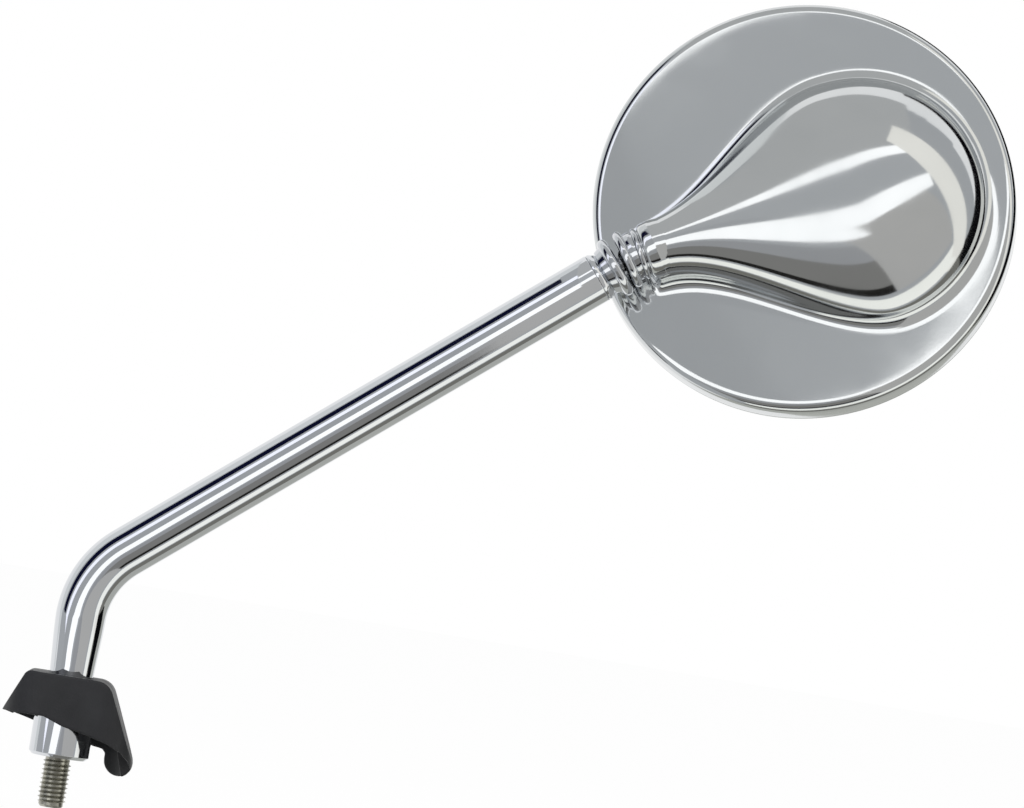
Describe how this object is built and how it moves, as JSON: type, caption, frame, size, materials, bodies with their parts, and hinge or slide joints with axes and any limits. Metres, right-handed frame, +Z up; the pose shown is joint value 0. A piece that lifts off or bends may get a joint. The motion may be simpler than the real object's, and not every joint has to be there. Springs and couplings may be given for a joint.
{
  "type": "scooter mirror",
  "caption": "Round chrome handlebar mirror on a bent tube stem, with a ball joint at the head and a threaded stud under a black moulded cowl.",
  "frame": {"origin": "centre of the foot collar's lower face, where the threaded stud leaves it", "axes": "+Z up the leg of the stem, +X towards the head in the plane of the bent stem, +Y the side that the mirror glass faces, away from the camera of the picture"},
  "size_m": [0.2563, 0.0482, 0.2545],
  "materials": {
    "chrome_stem": "polished chrome plate on steel tube",
    "chrome_head": "polished chrome plate on pressed steel",
    "chrome_rings": "polished chrome plate on turned steel",
    "zinc_plate": "bright zinc plate",
    "bare_steel": "turned steel, lightly greased",
    "spring_steel": "drawn spring steel",
    "cowl_plastic": "black moulded plastic with a fine texture",
    "seat_nylon": "natural nylon",
    "gasket_rubber": "black moulded rubber",
    "mirror_glass": "silvered convex glass",
    "foam_pad": "grey closed-cell foam"
  },
  "bodies": {
    "stem": {"mounting_stud": "zinc_plate", "foot_collar": "chrome_stem", "stem_tube": "chrome_stem", "base_cowl": "cowl_plastic", "end_ferrule": "chrome_stem", "ball_stud": "bare_steel", "dished_collar": "chrome_rings"},
    "ring": {"swivel_ring": "chrome_rings"},
    "seat": {"ball_seat": "seat_nylon", "pressure_cup": "bare_steel", "joint_spring": "spring_steel", "thrust_washer": "zinc_plate"},
    "head": {"neck_socket": "chrome_rings", "lock_ring": "chrome_rings", "spring_plug": "zinc_plate", "back_shell": "chrome_head", "rim_bezel": "chrome_head", "glass_gasket": "gasket_rubber", "mirror_glass": "mirror_glass", "backing_pad": "foam_pad"}
  },
  "joints": [
    {"name": "head_swing", "type": "hinge", "parent": "stem", "child": "ring", "pos_m": [0.13569, 0, 0.16266], "axis": [0, 1, 0], "range_deg": [-28, 8]},
    {"name": "head_tilt", "type": "hinge", "parent": "ring", "child": "seat", "pos_m": [0.13569, 0, 0.16266], "axis": [-0.4879, 0, 0.8729], "range_deg": [-12, 10]},
    {"name": "head_twist", "type": "hinge", "parent": "seat", "child": "head", "pos_m": [0.13569, 0, 0.16266], "axis": [0.8729, 0, 0.4879], "range_deg": [-14, 46]}
  ]
}
